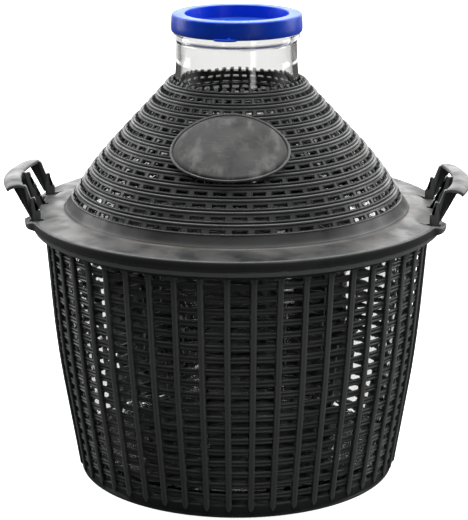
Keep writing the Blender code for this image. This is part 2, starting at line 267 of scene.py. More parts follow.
def round_edges(made, width, segments=3):
    bevel = made.modifiers.new("Round", "BEVEL")
    bevel.width = width * MM
    bevel.segments = segments
    bevel.limit_method = "ANGLE"
    bevel.angle_limit = math.radians(35.0)
    bevel.use_clamp_overlap = True
    apply_modifiers(made)


def join(made, others):
    """Take the other objects' meshes into the first one's."""
    work = bmesh.new()
    for each in [made, *others]:
        work.from_mesh(each.data)
    work.to_mesh(made.data)
    work.free()
    for each in others:
        bpy.data.objects.remove(each, do_unlink=True)


def rounded(corners, steps=6):
    """A line through (across, up, rounding) corners, each cut back by its rounding and curved."""
    line = [tuple(corners[0][:2])]
    for before, corner, after in zip(corners, corners[1:], corners[2:]):
        here = Vector(corner[:2])
        if corner[2] == 0:
            line.append(tuple(here))
            continue
        start = here + (Vector(before[:2]) - here).normalized() * corner[2]
        end = here + (Vector(after[:2]) - here).normalized() * corner[2]
        for i in range(steps + 1):
            t = i / steps
            line.append(tuple(start * (1 - t) ** 2 + here * 2 * t * (1 - t) + end * t * t))
    line.append(tuple(corners[-1][:2]))
    return line


def rounded_loop(corners, steps=4):
    """The same for a closed outline."""
    return rounded([corners[-1], *corners, corners[0]], steps)[1:-1]


def turned(name, line, segments, loop=False):
    """A surface of revolution from (radius, height) points that run down its outer side."""
    count = len(line)
    profile = np.array(line)
    turns = np.arange(segments) * TAU / segments
    x = np.outer(np.cos(turns), profile[:, 0])
    y = np.outer(np.sin(turns), profile[:, 0])
    z = np.tile(profile[:, 1], (segments, 1))
    vertices = np.stack([x, y, z], axis=-1).reshape(-1, 3)
    faces = []
    for turn in range(segments):
        here = turn * count
        there = (turn + 1) % segments * count
        for i in range(count if loop else count - 1):
            j = (i + 1) % count
            faces.append((here + i, here + j, there + j, there + i))
    made = make_object(name, vertices, faces)
    edit(made, lambda work: bmesh.ops.remove_doubles(work, verts=work.verts, dist=0.00001))
    return made


class Path:
    """A profile line that runs down the outer side of a turned wall."""

    def __init__(self, line):
        self.line = np.array(line)
        steps = np.linalg.norm(np.diff(self.line, axis=0), axis=1)
        self.along = np.concatenate([[0.0], np.cumsum(steps)])
        self.length = self.along[-1]

    def at(self, along):
        radius = np.interp(along, self.along, self.line[:, 0])
        height = np.interp(along, self.along, self.line[:, 1])
        return radius, height

    def normal(self, along, reach=1.2):
        r_before, z_before = self.at(np.clip(along - reach, 0, self.length))
        r_after, z_after = self.at(np.clip(along + reach, 0, self.length))
        length = np.hypot(r_after - r_before, z_after - z_before)
        return (z_before - z_after) / length, (r_after - r_before) / length

    def along_at_height(self, height):
        return float(np.interp(-height, -self.line[:, 1], self.along))


def wobble(angle, height, size):
    """A slow in-and-out waviness of a soft moulding."""
    wave = 0.5 * np.sin(3 * angle + 0.7) + 0.3 * np.sin(5 * angle + height / 55 + 1.9)
    return size * (wave + 0.25 * np.sin(11 * angle - height / 34))


def lattice(name, path, stations, lines, relief, is_open, sink, wall, widen=None, waviness=0.0):
    """A closed wall of revolution with windows.

    Lines are (share of a column, offset in millimetres) and repeat in each column. Relief has a
    height for each station and line, and is_open says which cells between them are windows.
    """
    stations = np.array(stations)
    radius, height = path.at(stations)
    out_r, out_z = path.normal(stations)
    share = np.array([line[0] for line in lines])
    offset = np.tile([line[1] for line in lines], COLUMNS)
    widen = np.ones(len(stations)) if widen is None else np.array(widen)
    turn = (np.arange(COLUMNS)[:, None] + share[None, :]).reshape(-1) * TAU / COLUMNS
    angle = turn[None, :] + offset[None, :] * widen[:, None] / radius[:, None]
    wave = wobble(angle, height[:, None], waviness)
    lift = np.tile(relief, (1, COLUMNS)) - sink
    shells = []
    for rise in (lift, np.full_like(lift, -sink - wall)):
        r = radius[:, None] + rise * out_r[:, None] + wave
        z = height[:, None] + rise * out_z[:, None]
        shells.append(np.stack([r * np.cos(angle), r * np.sin(angle), z], axis=-1).reshape(-1, 3))
    vertices = np.concatenate(shells)
    faces = wall_faces(~np.tile(is_open, (1, COLUMNS)))
    used, packed = np.unique(faces, return_inverse=True)
    return make_object(name, vertices[used], packed.reshape(faces.shape).tolist())


def wall_faces(kept):
    """Quads of a round wall's two skins, where its cells are kept, and round its windows' edges.

    The outer skin's vertices come first, row by row, and then the inner skin's in the same order.
    """
    rows, across = kept.shape[0] + 1, kept.shape[1]
    inner = rows * across
    ids = np.arange(inner).reshape(rows, across)
    after = np.roll(ids, -1, axis=1)
    a, b, c, d = ids[:-1], ids[1:], after[1:], after[:-1]
    edge = np.ones((1, across), bool)
    no_left = kept & ~np.roll(kept, 1, axis=1)
    no_right = kept & ~np.roll(kept, -1, axis=1)
    none_above = kept & np.concatenate([edge, ~kept[:-1]])
    none_below = kept & np.concatenate([~kept[1:], edge])
    quads = [
        np.stack([a, b, c, d], -1)[kept],
        np.stack([a, d, c, b], -1)[kept] + inner,
        np.stack([b, a, a + inner, b + inner], -1)[no_left],
        np.stack([d, c, c + inner, d + inner], -1)[no_right],
        np.stack([a, d, d + inner, a + inner], -1)[none_above],
        np.stack([c, b, b + inner, c + inner], -1)[none_below],
    ]
    return np.concatenate(quads)


# ======== basket ========

BAND_SHAPE = [                  # down from a window's lower edge: place, relief
    (0.0, -0.9), (0.5, -0.25), (1.1, 0.0), (1.8, -0.15), (2.2, -0.5), (2.5, -0.95),
    (3.7, -0.95), (4.1, -0.5), (4.6, -0.15), (5.2, 0.0), (5.9, -0.25), (BAND, -0.9),
]
RIB_LINES = [                   # across a column: share of the column, offset
    (0.0, -RIB_HALF), (0.0, -0.93 * RIB_HALF), (0.0, -0.7 * RIB_HALF), (0.0, 0.0),
    (0.0, 0.7 * RIB_HALF), (0.0, 0.93 * RIB_HALF), (0.0, RIB_HALF), (0.5, 0.0),
]
RIB_RELIEF = [0.0, 0.68, 0.95, 1.0, 0.95, 0.68, 0.0, 0.0]
RIB_GAP = slice(6, 8)           # the cells between ribs, where a window opens


def basket_path():
    return Path(rounded([
        (RIM_R, RIM_Z, 0.0),
        (RIM_R, RIM_Z - 4.6, 1.5),
        (207.4, RIM_Z - 10.4, 3.0),
        (205.4, 258.0, 3.0),
        (196.5, 145.0, 45.0),
        (174.0, 3.0, 2.0),
        (172.6, 0.0, 0.0),
    ]))


def basket_stations(path):
    """Places down the wall, as (along, relief between the ribs, whether a window opens below)."""
    first = path.along_at_height(BASKET_FIRST_WINDOW)
    rows = [(0.0, RIB_PROUD - 0.6, False), (0.6, RIB_PROUD, False)]
    rows += [(first * share, RIB_PROUD, False) for share in (0.3, 0.42, 0.52, 0.62, 0.72, 0.82)]
    rows += [(first - 1.1, RIB_PROUD, False), (first - 0.7, RIB_PROUD - 0.4, False)]
    rows += [(first - 0.25, 0.3, False), (first, -0.3, True), (first + 3.0, -0.7, True)]
    for row in range(BASKET_ROWS):
        foot = first + row * BASKET_PITCH + WINDOW_HIGH
        if row < BASKET_ROWS - 1:
            rows += [(foot + place, relief, False) for place, relief in BAND_SHAPE[:-1]]
            rows += [(foot + BAND, BAND_SHAPE[-1][1], True)]
        else:
            rows += [(foot, -0.7, False), (foot + 0.35, 0.0, False)]
    last = rows[-1][0]
    rest = path.length - last
    rows += [(last + rest * share, 0.0, False) for share in (0.1, 0.22, 0.34, 0.46, 0.6, 0.8)]
    rows += [(path.length - 0.9, 0.0, False), (path.length - 0.3, -0.4, False)]
    rows += [(path.length, -1.2, False)]
    return rows


def build_basket():
    """The lattice wall, whose ribs narrow to a tip at the ground, and the floor."""
    path = basket_path()
    rows = basket_stations(path)
    stations = [row[0] for row in rows]
    heights = path.at(np.array(stations))[1]
    first = path.along_at_height(BASKET_FIRST_WINDOW)
    tip = np.clip((heights - RIB_TIP_Z) / 6.0, 0.0, 1.0)
    flare = np.clip(1 - np.abs(np.array(stations) - first) / 3.0, 0.0, 1.0)
    widen = (0.06 + 0.94 * tip) * (1 + 0.5 * flare)
    relief = np.zeros((len(rows), len(RIB_LINES)))
    for j, row in enumerate(rows):
        for i, rise in enumerate(RIB_RELIEF):
            rib = rise * RIB_PROUD * min(1.0, 2.2 * tip[j])
            relief[j, i] = max(row[1], rib) if rise else row[1]
    is_open = np.zeros((len(rows) - 1, len(RIB_LINES)), bool)
    for j, row in enumerate(rows[:-1]):
        is_open[j, RIB_GAP] = row[2]
    made = lattice("basket_lattice", path, stations, RIB_LINES, relief, is_open, sink=RIB_PROUD,
                   wall=BASKET_WALL - RIB_PROUD, widen=widen, waviness=BASKET_WAVE)
    join(made, [build_floor()])
    smooth(made)
    return made


def build_floor():
    """The basket's floor: a disc with raised rings on its upper side."""
    level = FLOOR_THICKNESS - 0.4
    corners = [(0.0, level, 0.0)]
    for ring in (40.0, 80.0, 120.0):
        corners += [(ring - 3, level, 0.8), (ring - 2, FLOOR_THICKNESS, 0.4)]
        corners += [(ring + 2, FLOOR_THICKNESS, 0.4), (ring + 3, level, 0.8)]
    corners += [(FLOOR_R, level, 0.4), (FLOOR_R, 0.2, 0.3), (0.0, 0.2, 0.0)]
    return turned("basket_floor", rounded(corners, 3), 144)


# ======== cover ========

CORD_SHAPE = [                  # down from a window's middle: place, relief of the cords
    (CONE_WINDOW_HALF, 0.0), (FRAME_CREST, 0.0),
    (2.55, 0.35), (2.8, 1.3), (3.4, 1.9), (4.15, 1.5), (4.7, 0.6), (5.1, 0.1),
    (5.6, 0.6), (6.2, 1.6), (7.1, 2.0), (8.1, 1.5), (8.65, 0.4), (8.9, 0.0),
    (10.7, 0.0), (CONE_PITCH - FRAME_CREST, 0.0),
]
FRAME_LINES = [                 # across a column: share of the column, offset
    (0.0, 0.0), (BAR_SHARE, 0.0), (BAR_SHARE, 0.4), (BAR_SHARE, 0.8),
    (0.5, 0.0),
    (1 - BAR_SHARE, -0.8), (1 - BAR_SHARE, -0.4), (1 - BAR_SHARE, 0.0),
]
FRAME_KIND = ["bar", "bar", "crest", "edge", "edge", "edge", "crest", "bar"]
FRAME_GAP = slice(3, 5)


def cone_path():
    return Path(rounded(CONE_CORNERS, 10))


def frame_relief(kind, distance):
    """The thin raised frame round a window, by the distance up or down from the window's middle."""
    if kind == "bar":
        return 0.0
    places = [CONE_WINDOW_HALF, FRAME_CREST, FRAME_CREST + 0.4]
    rise = float(np.interp(distance, places, [0.25, FRAME_RISE, 0.0]))
    if kind == "crest" and distance < FRAME_CREST:
        return FRAME_RISE
    return rise


def build_cone():
    path = cone_path()
    rows = [(0.0, 0.0, True), (0.5, 0.0, True)]
    for row in range(CONE_ROWS):
        middle = CONE_FIRST + row * CONE_PITCH
        shape = CORD_SHAPE if row < CONE_ROWS - 1 else CORD_SHAPE[:5]
        rows += [(middle + place, rise, False) for place, rise in shape]
        if row < CONE_ROWS - 1:
            rows.append((middle + CONE_PITCH - CONE_WINDOW_HALF, 0.0, True))
    last = rows[-1][0]
    rest = path.length - last
    rows += [(last + 0.7, 1.75, False), (last + 1.3, 1.15, False)]
    rows += [(last + rest * share, CONE_SINK, False) for share in (0.25, 0.5, 0.75)]
    rows += [(path.length - 0.4, CONE_SINK, False), (path.length, CONE_SINK - 0.4, False)]
    relief = np.zeros((len(rows), len(FRAME_LINES)))
    middles = CONE_FIRST + CONE_PITCH * np.arange(CONE_ROWS)
    for j, (along, rise, _) in enumerate(rows):
        distance = float(np.min(np.abs(middles - along)))
        for i, kind in enumerate(FRAME_KIND):
            frame_rise = 0.0 if along < CONE_FIRST else frame_relief(kind, distance)
            relief[j, i] = max(rise, frame_rise)
    is_open = np.zeros((len(rows) - 1, len(FRAME_LINES)), bool)
    for j, row in enumerate(rows[:-1]):
        is_open[j, FRAME_GAP] = row[2]
    return lattice("cover_cone", path, [row[0] for row in rows], FRAME_LINES, relief, is_open,
                   sink=CONE_SINK, wall=CONE_WALL, waviness=CONE_WAVE)


def ease(value, low, high):
    share = min(1.0, max(0.0, (value - low) / (high - low)))
    return share * share * (3 - 2 * share)


def flange_edge(angle):
    """The flange's edge radius: a plain circle, with two ears and a recess at each handle."""
    off = math.degrees(abs(math.atan2(math.sin(angle), abs(math.cos(angle)))))
    recess = RECESS_X / math.cos(math.radians(min(off, 14.0)))
    edge = recess + (EAR_R - recess) * ease(off, *RECESS_END)
    return edge + (FLANGE_R - edge) * ease(off, *EAR_END)


def shape_flange(work):
    """Give the plain turned flange its ears and recesses, its dips at the legs and its unevenness."""
    for vertex in work.verts:
        radius = math.hypot(vertex.co.x, vertex.co.y) / MM
        angle = math.atan2(vertex.co.y, vertex.co.x)
        rise = 0.35 * math.sin(7 * angle + 1) + 0.25 * math.sin(17 * angle + 2.2)
        flat = ease(radius, FLANGE_INNER - 12.0, FLANGE_INNER) * (1 - ease(radius, 212.0, 218.0))
        from_leg = math.hypot(abs(vertex.co.x) / MM - SLOT_MIDDLE_X,
                              abs(vertex.co.y) / MM - LEG_SPACING)
        dip = SLOT_DIP * (1 - ease(from_leg, 6.0, 22.0)) if vertex.co.z > SKIRT_FOOT_Z * MM else 0.0
        vertex.co.z += (rise * flat - dip) * MM
        if radius > FLANGE_INNER:
            share = (radius - FLANGE_INNER) / (FLANGE_R - FLANGE_INNER)
            grown = FLANGE_INNER + share * (flange_edge(angle) - FLANGE_INNER)
            vertex.co.x *= grown / radius
            vertex.co.y *= grown / radius


def loft(name, loops):
    """A closed solid through loops with equally many points, capped at both ends."""
    count = len(loops[0])
    vertices = [point for loop in loops for point in loop]
    faces = [tuple(range(count)), tuple(range(len(vertices) - count, len(vertices)))]
    for row in range(len(loops) - 1):
        for i in range(count):
            here = row * count + i
            after = row * count + (i + 1) % count
            faces.append((here, after, after + count, here + count))
    made = make_object(name, vertices, faces)
    edit(made, lambda work: bmesh.ops.recalc_face_normals(work, faces=work.faces))
    return made


def prism(name, outline, low, high):
    """A closed upright prism over an outline in the XY plane."""
    return loft(name, [[(x, y, z) for x, y in outline] for z in (low, high)])


def end_slot(side, leg):
    """Outline of the hole round an end leg, with a pointed notch that runs in from its far side."""
    inner = PIVOT_X - 8.4
    outer = PIVOT_X + 7.4
    y = leg * LEG_SPACING
    near = y - leg * 3.4
    far = y + leg * 3.4
    tip = y + leg * 6.6
    corners = [
        (inner + 1.5, near, 1.2), (outer, near, 1.4), (outer, far, 1.4),
        (inner + 5.0, far + leg * 2.0, 1.2), (inner - 7.0, tip, 0.4), (inner, far - leg, 1.0),
    ]
    return [(side * x, y) for x, y in rounded_loop(corners)]


def build_flange():
    """The flat flange with its turned-down edge, cut through for the handles' legs."""
    corners = [
        (182.4, 292.5, 0.0),
        (184.2, 289.9, 2.2),
        (FLANGE_R - 0.3, FLANGE_Z, 2.6),
        (FLANGE_R - 1.6, EDGE_LOW_Z + 0.2, 0.5),
        (FLANGE_R - 3.6, EDGE_LOW_Z + 0.2, 0.5),
        (FLANGE_R - 2.6, FLANGE_Z - 2.6, 1.5),
        (183.6, 287.0, 1.5),
        (180.4, 291.4, 0.0),
    ]
    line = []
    outline = rounded(corners, 5)
    for start, end in zip(outline, outline[1:]):
        pieces = max(1, round(math.dist(start, end) / 4.0))
        for i in range(pieces):
            share = i / pieces
            line.append(tuple(Vector(start).lerp(Vector(end), share)))
    line.append(outline[-1])
    made = turned("cover_flange", line, 288, loop=True)
    edit(made, shape_flange)
    for side in (-1, 1):
        for leg in (-1, 1):
            tool = prism("slot", end_slot(side, leg), FLANGE_Z - 8, FLANGE_Z + 8)
            boolean(made, tool, "DIFFERENCE")
        inner = side * (PIVOT_X - 5.2)
        outer = side * (PIVOT_X + 12.0)
        notch = [(inner, -2.8), (outer, -2.8), (outer, 2.8), (inner, 2.8)]
        boolean(made, prism("notch", notch, EDGE_LOW_Z - 2, FLANGE_Z + 8), "DIFFERENCE")
    return made


def badge_point(path, x, y, lift):
    """A point of the badge, from -1 to 1 across and up, at a height over its face."""
    along = path.along_at_height(BADGE_Z + y * BADGE_HALF_HEIGHT)
    radius, height = path.at(along)
    out_r, out_z = path.normal(np.array(along))
    share = 0.5 - 0.5 * y
    proud = BADGE_PROUD_TOP + share * (BADGE_PROUD_FOOT - BADGE_PROUD_TOP) + lift
    middle_radius = path.at(path.along_at_height(BADGE_Z))[0]
    angle = x * BADGE_HALF_WIDTH / middle_radius + BADGE_TURN
    reach = float(radius + proud * out_r)
    return (reach * math.sin(angle), -reach * math.cos(angle), float(height + proud * out_z))


def build_badge():
    """The oval plate: a crowned face with a thin raised rim, and a closed back."""
    path = cone_path()
    segments = 96
    face = [                    # from the middle out: share of the width and height, lift
        (0.0, 0.5), (0.25, 0.48), (0.5, 0.4), (0.7, 0.28), (0.85, 0.12), (0.925, -0.1),
        (0.945, -0.6), (0.955, 0.0), (0.965, 0.75), (0.98, 0.95), (0.993, 0.7), (1.0, 0.1), (1.0, -0.8),
    ]
    rings = face + [(0.995, -BADGE_THICKNESS + 0.5), (0.97, -BADGE_THICKNESS), (0.0, -BADGE_THICKNESS)]
    vertices = []
    faces = []
    for share, lift in rings:
        for i in range(segments):
            turn = TAU * i / segments
            x = share * math.cos(turn)
            y = share * math.sin(turn)
            is_rim = 0.9 < share < 0.995 and lift > 0
            raised = lift * (0.1 + 0.9 * ease(-y, -0.6, 0.3)) if is_rim else lift
            vertices.append(badge_point(path, x, y, raised))
    for ring in range(len(rings) - 1):
        for i in range(segments):
            j = (i + 1) % segments
            here = ring * segments
            there = here + segments
            faces.append((here + i, there + i, there + j, here + j))
    made = make_object("badge", vertices, faces)

    def close(work):
        bmesh.ops.remove_doubles(work, verts=work.verts, dist=0.00001)
        bmesh.ops.recalc_face_normals(work, faces=work.faces)

    edit(made, close)
    return made


def build_cover():
    made = build_cone()
    join(made, [build_flange(), build_badge()])
    made.name = "cover_moulding"
    smooth(made)
    return made


# ======== jar ========

def jar_outer():
    """Corners of the jar's outer side, from under the lip down to the heel."""
    centre = JAR_BODY_R - SHOULDER_WIDE
    steps = 28
    shoulder = []
    for i in range(steps + 1):
        turn = SHOULDER_END * (1 - i / steps)
        radius = centre + SHOULDER_WIDE * math.cos(turn)
        shoulder.append((radius, JAR_BODY_Z + SHOULDER_HIGH * math.sin(turn), 0.0))
    slope = SHOULDER_HIGH / SHOULDER_WIDE / math.tan(SHOULDER_END)
    knee_z = NECK_Z - 10.0
    knee_r = shoulder[0][0] - (knee_z - shoulder[0][1]) / slope
    neck = [
        (LIP_R, JAR_MOUTH_Z - 2.0, 0.0),
        (LIP_R, BEAD_HIGH + 1.0, 1.0),
        (BEAD_R, BEAD_HIGH - 1.0, 1.0),
        (BEAD_R, BEAD_LOW + 1.0, 2.2),
        (NECK_R, BEAD_LOW - 2.5, 2.0),
        (NECK_R, WAIST_Z, 16.0),
        (NECK_FLARE_R, NECK_Z, 8.0),
    ]
    foot = JAR_FOOT_Z
    heel = [
        (170.5, 45.0, 22.0),
        (160.5, foot + 9.0, 16.0),
        (128.0, foot, 8.0),
        (114.0, foot, 6.0),
        (0.0, foot + 9.0, 0.0),
    ]
    return rounded(neck + [(knee_r + 1.2, knee_z, 5.0)] + shoulder[1:] + heel, 8)


def inset(line, wall):
    """The same line moved inward along its own normals."""
    points = np.array(line)
    tangent = np.gradient(points, axis=0)
    tangent /= np.linalg.norm(tangent, axis=1)[:, None]
    return points + wall * np.stack([tangent[:, 1], -tangent[:, 0]], axis=1)


def ripple(work):
    """The soft unevenness of blown glass, on the inside of the body only."""
    for vertex in work.verts:
        radius = math.hypot(vertex.co.x, vertex.co.y) / MM
        height = vertex.co.z / MM
        angle = math.atan2(vertex.co.y, vertex.co.x)
        wave = math.sin(4 * angle + height / 30) + 0.6 * math.sin(9 * angle - height / 21 + 2)
        if vertex.co.z > (BEAD_LOW - 4) * MM or radius < 20:
            continue
        scale = 1 + 0.22 * wave / max(radius, 60.0)
        vertex.co.x *= scale
        vertex.co.y *= scale


def build_jar():
    """A hollow shell: its inner side follows the outer one up to a straight bore in the neck."""
    outer = jar_outer()
    body = [point for point in outer if point[1] <= WAIST_Z]
    inner = inset(body, JAR_WALL)
    inner[-1] = (0.0, inner[-1][1])
    bore = NECK_R - JAR_WALL
    mouth = rounded([
        (bore, WAIST_Z, 0.0),
        (bore, JAR_MOUTH_Z, 2.0),
        (LIP_R, JAR_MOUTH_Z, 2.0),
        (LIP_R, JAR_MOUTH_Z - 2.5, 0.0),
    ])
    inner = [tuple(point) for point in reversed(inner.tolist()) if point[1] < WAIST_Z - 2]
    made = turned("clear_jar", inner + mouth + list(outer[1:]), 160)
    edit(made, ripple)
    smooth(made, 60.0)
    return made


# ======== lid ========

def build_lid():
    """A ring top round a sunk middle, a short skirt outside the mouth and a plug inside it."""
    inside = BEAD_R + 0.5
    under = LID_TOP_Z - 2.4
    corners = [
        (0.0, RECESS_Z, 0.0),
        (46.0, RECESS_Z, 2.0),
        (RECESS_R - 0.8, RECESS_Z + 0.8, 2.2),
        (RECESS_R, LID_TOP_Z, 1.6),
        (LID_R - 0.9, LID_TOP_Z, 2.4),
        (LID_R, LID_SKIRT_Z + 4.0, 2.5),
        (LID_R - 0.6, LID_SKIRT_Z, 1.2),
        (inside, LID_SKIRT_Z, 0.5),
        (inside - 0.4, under, 0.8),
        (PLUG_R, under, 0.8),
        (PLUG_R, RECESS_Z, 1.0),
        (PLUG_R - 2.0, RECESS_Z - 2.2, 1.0),
        (0.0, RECESS_Z - 2.2, 0.0),
    ]
    made = turned("press_on_lid", rounded(corners, 5), 192)
    join(made, [build_tab()])
    smooth(made)
    return made


def build_tab():
    """The pull tab: a thin lip that stands out from the skirt's lower edge, with a small nib on it."""
    half = TAB_HALF_WIDTH / LID_R
    steps = 16
    outline = []
    for i in range(steps + 1):
        across = -1 + 2 * i / steps
        reach = TAB_REACH * (1 - abs(across) ** 4)
        angle = TAB_ANGLE + half * across
        radius = LID_R + reach
        outline.append((radius * math.cos(angle), radius * math.sin(angle)))
    for i in range(steps, -1, -1):
        angle = TAB_ANGLE + half * (-1 + 2 * i / steps)
        radius = LID_R - 1.6
        outline.append((radius * math.cos(angle), radius * math.sin(angle)))
    made = prism("tab", outline, LID_SKIRT_Z - 0.4, LID_SKIRT_Z + 1.6)
    round_edges(made, 0.5)
    nib = []
    for radius, rise in ((LID_R - 0.8, 3.6), (LID_R + 0.7 * TAB_REACH, 0.8)):
        loop = []
        for across, up in ((-2.8, 0.9), (3.4, 0.9), (-0.4, 0.9 + rise)):
            angle = TAB_ANGLE + 0.35 * half + across / radius
            loop.append((radius * math.cos(angle), radius * math.sin(angle), LID_SKIRT_Z + up))
        nib.append(loop)
    join(made, [loft("nib", nib)])
    return made


# ======== handles ========

def plate(name, outline, y_low, y_high):
    """A flat plate in the handle's own XZ plane, between two places along Y."""
    return loft(name, [[(x, y, z) for x, z in outline] for y in (y_low, y_high)])


def leg_corners(outer, top, outer_top, first_tooth, teeth, lean):
    """Outline of a toothed leg, with a rounding for each corner."""
    root = outer - LEG_WIDTH
    corners = [(root, top, 3.0)]
    for tooth in reversed(range(teeth)):
        shelf = first_tooth + tooth * TOOTH_PITCH
        corners += [
            (root, shelf + 0.4, 0.8),
            (root - 0.55 * TOOTH, shelf + 1.0, 0.9),
            (root - TOOTH, shelf + 0.6, 1.1),
            (root - TOOTH - 0.1, shelf - 2.2, 1.0),
        ]
    sunk = (first_tooth - LEG_FOOT) / TOOTH_PITCH
    corners += [(root - TOOTH * (1 - sunk), LEG_FOOT, 0.8), (outer - 1.0, LEG_FOOT, 1.0)]
    corners += [(outer, LEG_FOOT + 3.0, 1.5), (outer, 8.0, 4.0), (outer_top, top, 0.0)]
    return [(across + lean * up, up, rounding) for across, up, rounding in corners]


def build_middle_leg():
    """A toothed plate that leans out a little, with a boss on its outer side under the grip."""
    corners = leg_corners(LEG_OUTER + MIDDLE_SHIFT, MIDDLE_LEG_TOP, GRIP_OUT_MIDDLE - 4.0,
                          MIDDLE_FIRST_TOOTH, 4, MIDDLE_LEAN)
    made = plate("middle_leg", rounded_loop(corners), -2.1, 2.1)
    round_edges(made, 0.5, 2)
    boss = [(LEG_OUTER + 2.5, 34.0, 2.5), (LEG_OUTER + 2.5, 42.5, 2.0),
            (LEG_OUTER + 10.0, 43.5, 1.0), (LEG_OUTER + 10.0, 34.0, 2.5)]
    knob = plate("boss", rounded_loop(boss, 5), -3.4, 3.4)
    round_edges(knob, 1.0, 3)
    boolean(made, knob, "UNION")
    return made


def build_end_leg(leg):
    """A toothed plate with a thinner tapered web and a raised line along its outer side."""
    y = leg * LEG_SPACING
    corners = leg_corners(LEG_OUTER, LEG_TOP, LEG_OUTER + 1.5, END_FIRST_TOOTH, 2, 0.0)
    made = plate("end_leg", rounded_loop(corners), y - 2.0, y + 2.0)
    round_edges(made, 0.5, 2)
    web = [
        (LEG_OUTER - 2.0, LEG_TOP + 2.0, 0.0),
        (LEG_OUTER - 2.0, 4.0, 0.0),
        (LEG_OUTER + 1.2, 4.0, 1.0),
        (LEG_OUTER + 6.0, LEG_TOP, 1.0),
        (LEG_OUTER + 6.0, LEG_TOP + 2.0, 0.0),
    ]
    near = y - leg * 1.6
    far = y - leg * 0.2
    boolean(made, plate("web", rounded_loop(web), min(near, far), max(near, far)), "UNION")
    line = [
        (LEG_OUTER - 0.6, LEG_TOP + 2.0, 0.0),
        (LEG_OUTER - 0.6, 6.0, 0.0),
        (LEG_OUTER + 1.0, 6.0, 0.0),
        (LEG_OUTER + 2.0, LEG_TOP + 2.0, 0.0),
    ]
    lip = plate("lip", rounded_loop(line), y - 2.7, y + 2.7)
    round_edges(lip, 0.4, 2)
    boolean(made, lip, "UNION")
    return made


def grip_point(across, along):
    """A point of the grip's top, from -1 to 1 across and along it: bowed outward and upward."""
    middle = 1 - along * along
    end_drop = 1.0 * max(0.0, (abs(along) - 0.93) / 0.07) ** 2
    out = GRIP_OUT_ENDS + (GRIP_OUT_MIDDLE - GRIP_OUT_ENDS) * middle + across * GRIP_WIDTH / 2
    up = GRIP_UP_ENDS + (GRIP_UP_MIDDLE - GRIP_UP_ENDS) * middle - end_drop
    up += GRIP_RISE * across - GRIP_CROWN * abs(across) ** 2.6
    return (out, along * GRIP_HALF_LENGTH, up)


def grip_loop(along, shrink):
    """The grip's cross-section: its crowned top, a round edge, its underside and the other edge."""
    skin = [(across, 0.0) for across in np.linspace(-0.93, 0.93, 13)]
    edge = [(0.98, 0.3), (1.0, 0.95), (1.0, GRIP_WALL - 0.95), (0.98, GRIP_WALL - 0.3)]
    under = [(-across, GRIP_WALL) for across, _ in skin]
    back = [(-across, GRIP_WALL - depth) for across, depth in edge]
    loop = []
    for across, depth in skin + edge + under + back:
        x, y, z = grip_point(across * (1 - shrink / 6), along)
        loop.append((x, y, z - shrink - depth * (1 - 2 * shrink / GRIP_WALL)))
    return loop


def build_grip(name):
    """The strap, drawn in a little at both ends to round them."""
    middle = [(along, 0.0) for along in np.linspace(-0.975, 0.975, 41)]
    stations = [(-1.0, 0.6), (-0.993, 0.2)] + middle + [(0.993, 0.2), (1.0, 0.6)]
    return loft(name, [grip_loop(along, shrink) for along, shrink in stations])


def build_handle(side):
    name = "handle_right" if side > 0 else "handle_left"
    made = build_grip("strap_" + name)
    for leg in (build_end_leg(-1), build_middle_leg(), build_end_leg(1)):
        boolean(made, leg, "UNION")
    turn = Matrix.Rotation(0.0 if side > 0 else math.pi, 4, "Z") @ Matrix.Rotation(LEAN, 4, "Y")
    made.data.transform(Matrix.Translation(PIVOTS[name]) @ turn)
    smooth(made, 42.0)
    return made


# ======== materials ========

